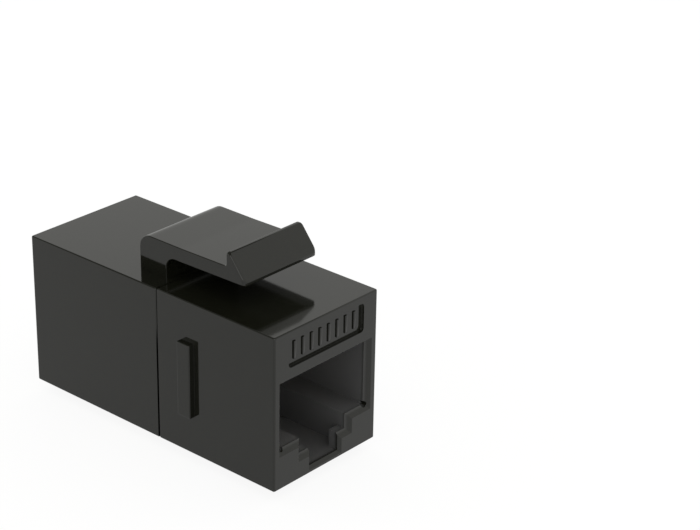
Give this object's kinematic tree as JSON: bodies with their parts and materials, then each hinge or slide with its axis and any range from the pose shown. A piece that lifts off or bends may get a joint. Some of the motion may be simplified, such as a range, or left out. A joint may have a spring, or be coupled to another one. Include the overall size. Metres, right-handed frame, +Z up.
{
  "type": "keystone coupler",
  "caption": "Inline keystone coupler: a moulded body with a modular jack at each end, joined through a board, held in a panel by a springy latch above and a fixed catch below.",
  "frame": {"origin": "centre of the flat underside of the body, midway between the two jack faces", "axes": "+X across the body, +Y from the front jack to the rear jack, +Z up towards the latch; the front jack face looks along -Y"},
  "size_m": [0.0158, 0.0336, 0.0229],
  "materials": {
    "housing": "glossy moulded black plastic",
    "carrier": "plain moulded black plastic",
    "board": "solder mask over glass laminate",
    "contact": "gold-plated spring strip"
  },
  "bodies": {
    "coupler": {"front_housing": "housing", "rear_housing": "housing", "circuit_board": "board", "front_contact_carrier": "carrier", "rear_contact_carrier": "carrier"},
    "latch": {"latch_arm": "housing"},
    "front_contacts": {"front_contact_1": "contact", "front_contact_2": "contact", "front_contact_3": "contact", "front_contact_4": "contact", "front_contact_5": "contact", "front_contact_6": "contact", "front_contact_7": "contact", "front_contact_8": "contact"},
    "rear_contacts": {"rear_contact_1": "contact", "rear_contact_2": "contact", "rear_contact_3": "contact", "rear_contact_4": "contact", "rear_contact_5": "contact", "rear_contact_6": "contact", "rear_contact_7": "contact", "rear_contact_8": "contact"}
  },
  "joints": [
    {"name": "latch_press", "type": "hinge", "parent": "coupler", "child": "latch", "pos_m": [0, -0.00252, 0.01937], "axis": [1, 0, 0], "range_deg": [0, 15], "stiffness_Nm_per_rad": 0.4, "springref_deg": -1.15},
    {"name": "front_contacts_flex", "type": "hinge", "parent": "coupler", "child": "front_contacts", "pos_m": [0, -0.01285, 0.0137], "axis": [1, 0, 0], "range_deg": [0, 12], "stiffness_Nm_per_rad": 0.2, "springref_deg": -2.86},
    {"name": "rear_contacts_flex", "type": "hinge", "parent": "coupler", "child": "rear_contacts", "pos_m": [0, 0.01285, 0.0137], "axis": [-1, 0, 0], "range_deg": [0, 12], "stiffness_Nm_per_rad": 0.2, "springref_deg": -2.86}
  ]
}
